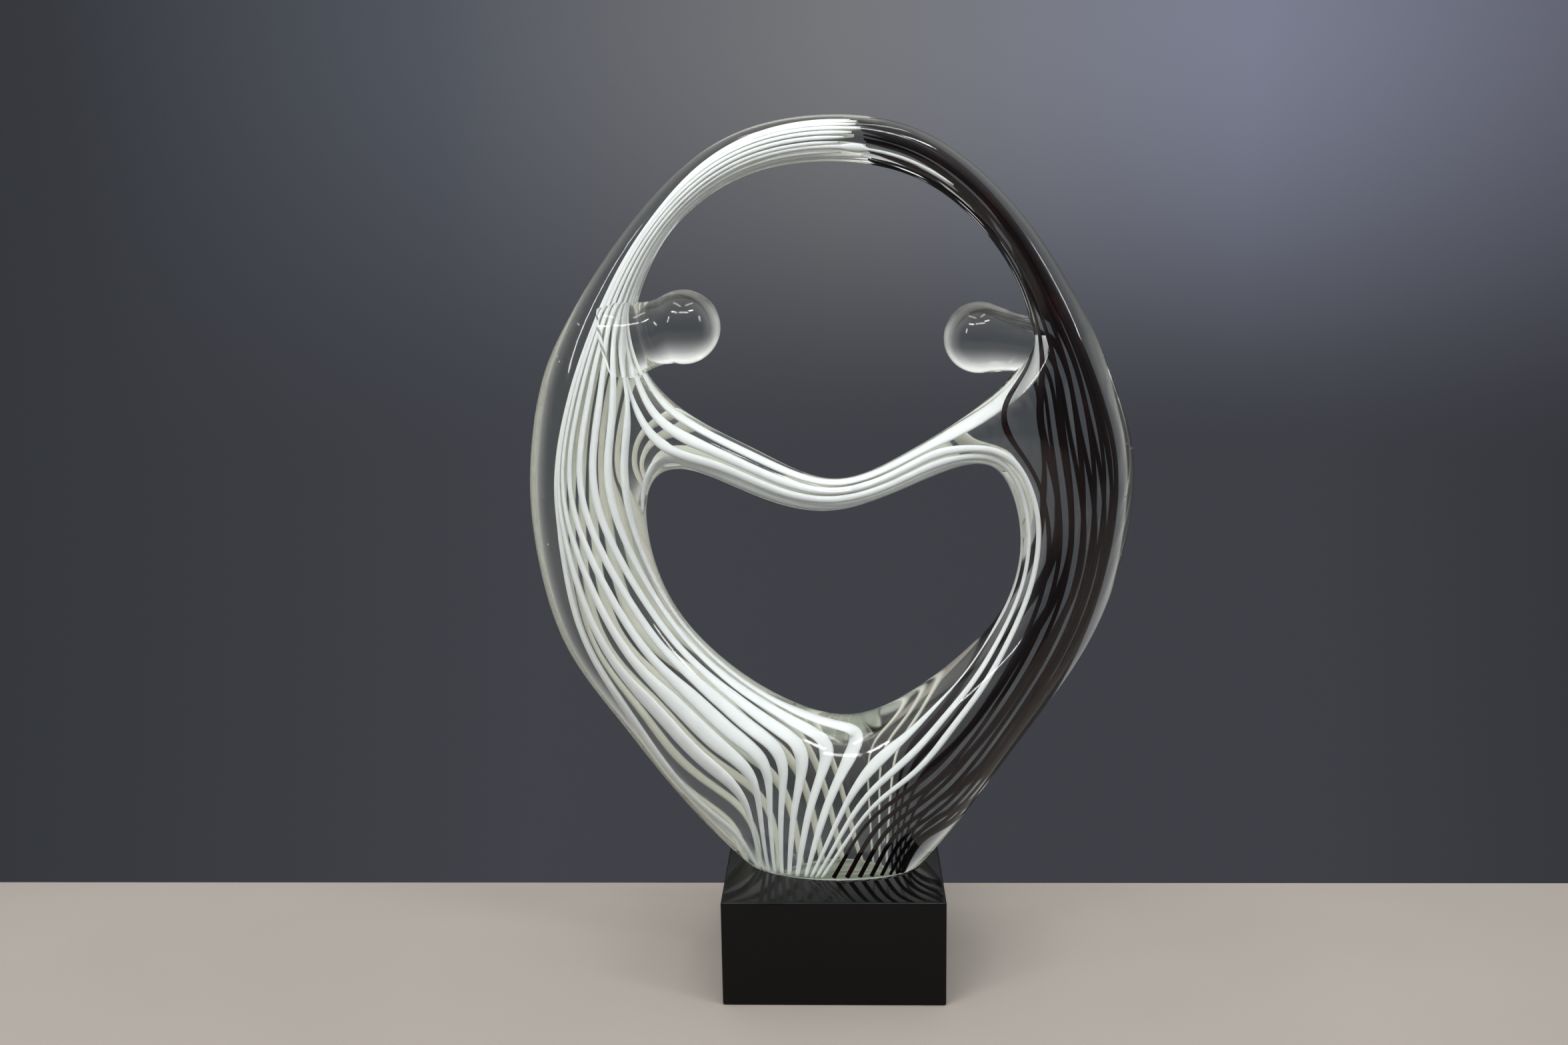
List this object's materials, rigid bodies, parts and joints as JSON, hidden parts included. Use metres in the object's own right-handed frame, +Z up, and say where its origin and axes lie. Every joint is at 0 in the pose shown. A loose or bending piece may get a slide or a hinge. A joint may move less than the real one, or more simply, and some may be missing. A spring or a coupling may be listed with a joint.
{
  "type": "glass sculpture",
  "caption": "Abstract embracing-figures ornament: clear glass ring with a wavy bridge, white and dark inner canes, clear heads, on a polished black block",
  "frame": {"origin": "middle of the block's underside", "axes": "+Z up, the front with the heads' profile faces -Y, the white limb is on -X and the dark limb on +X"},
  "size_m": [0.2732, 0.1, 0.3902],
  "materials": {
    "clear_glass": "fire-polished clear glass, very faintly green",
    "white_glass": "opaque white glass threads cased in the clear glass",
    "dark_glass": "opaque dark amethyst glass threads cased in the clear glass",
    "black_glass": "solid black block, polished top, satin sides",
    "clear_glue": "thin clear bonding film"
  },
  "bodies": {
    "root": {"glass_form": "clear_glass", "left_head": "clear_glass", "right_head": "clear_glass", "bridge_back_cane_1": "white_glass", "bridge_back_cane_2": "white_glass", "bridge_back_cane_3": "white_glass", "bridge_back_cane_4": "white_glass", "bridge_front_cane_1": "white_glass", "bridge_front_cane_2": "white_glass", "bridge_front_cane_3": "white_glass", "bridge_front_cane_4": "white_glass", "dark_back_cane_1": "dark_glass", "dark_back_cane_2": "dark_glass", "dark_back_cane_3": "dark_glass", "dark_back_cane_4": "dark_glass", "dark_back_cane_5": "dark_glass", "dark_back_cane_6": "dark_glass", "dark_back_cane_7": "dark_glass", "dark_back_cane_8": "dark_glass", "dark_front_cane_1": "dark_glass", "dark_front_cane_2": "dark_glass", "dark_front_cane_3": "dark_glass", "dark_front_cane_4": "dark_glass", "dark_front_cane_5": "dark_glass", "dark_front_cane_6": "dark_glass", "dark_front_cane_7": "dark_glass", "dark_front_cane_8": "dark_glass", "white_back_cane_1": "white_glass", "white_back_cane_2": "white_glass", "white_back_cane_3": "white_glass", "white_back_cane_4": "white_glass", "white_back_cane_5": "white_glass", "white_back_cane_6": "white_glass", "white_back_cane_7": "white_glass", "white_back_cane_8": "white_glass", "white_front_cane_1": "white_glass", "white_front_cane_2": "white_glass", "white_front_cane_3": "white_glass", "white_front_cane_4": "white_glass", "white_front_cane_5": "white_glass", "white_front_cane_6": "white_glass", "white_front_cane_7": "white_glass", "white_front_cane_8": "white_glass", "glue_film": "clear_glue", "block": "black_glass"}
  },
  "joints": []
}
